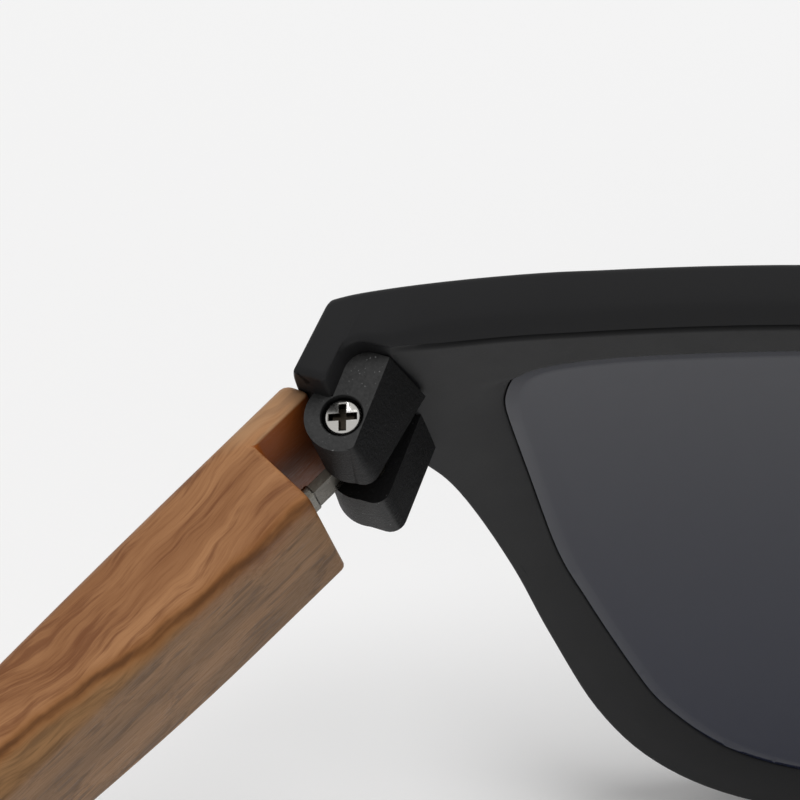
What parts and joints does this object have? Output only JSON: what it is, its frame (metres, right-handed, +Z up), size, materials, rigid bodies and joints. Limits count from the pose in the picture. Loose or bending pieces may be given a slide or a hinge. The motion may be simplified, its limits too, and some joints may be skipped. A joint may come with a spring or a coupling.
{
  "type": "sunglasses",
  "caption": "Sunglasses with a black moulded front, dark curved lenses and wooden temples on sprung slider hinges that fold inward and flex outward.",
  "frame": {"origin": "on the table, under the middle of the part's own box", "axes": "+X to the wearer's left, +Y to the back where the temple tips are, +Z up from the table; the front leans and the hinge axes lean back with it"},
  "size_m": [0.2608, 0.1496, 0.0568],
  "materials": {
    "black_plastic": "smooth satin moulded plastic",
    "hinge_plastic": "rough grained moulded plastic",
    "tinted_lens": "polished dark grey tinted sheet",
    "temple_wood": "sanded wood with long open grain and an oil finish",
    "slider_steel": "plain drawn metal",
    "spring_steel": "drawn spring wire",
    "screw_steel": "nickel plated and tumbled",
    "insert_brass": "turned"
  },
  "bodies": {
    "front": {"front_frame": "black_plastic", "left_lens": "tinted_lens", "right_lens": "tinted_lens", "left_hinge_block": "hinge_plastic", "right_hinge_block": "hinge_plastic", "left_thread_insert": "insert_brass", "right_thread_insert": "insert_brass", "left_pivot_screw": "screw_steel", "right_pivot_screw": "screw_steel"},
    "left_slide": {"left_slider": "slider_steel", "left_rod_nut": "slider_steel"},
    "right_slide": {"right_slider": "slider_steel", "right_rod_nut": "slider_steel"},
    "left_arm": {"left_temple": "temple_wood", "left_spring_housing": "slider_steel", "left_coil_spring": "spring_steel"},
    "right_arm": {"right_temple": "temple_wood", "right_spring_housing": "slider_steel", "right_coil_spring": "spring_steel"}
  },
  "joints": [
    {"name": "left_hinge", "type": "hinge", "parent": "front", "child": "left_slide", "pos_m": [0.0691, -0.04795, 0.04732], "axis": [0, 0.1798, 0.9837], "range_deg": [0, 114]},
    {"name": "left_draw", "type": "slide", "parent": "left_slide", "child": "left_arm", "axis": [0.4226, 0.8915, -0.1629], "range_m": [-0.0016, 0], "deforming": ["left_coil_spring"]},
    {"name": "right_hinge", "type": "hinge", "parent": "front", "child": "right_slide", "pos_m": [-0.0691, -0.04795, 0.04732], "axis": [0, -0.1798, -0.9837], "range_deg": [0, 92.5]},
    {"name": "right_draw", "type": "slide", "parent": "right_slide", "child": "right_arm", "axis": [-0.4226, 0.8915, -0.1629], "range_m": [-0.0016, 0], "deforming": ["right_coil_spring"]}
  ],
  "couplings": [
    {"joint": "left_draw", "follows": "left_hinge", "m_per_rad": -0.00080407},
    {"joint": "right_draw", "follows": "right_hinge", "m_per_rad": -0.00099096}
  ]
}
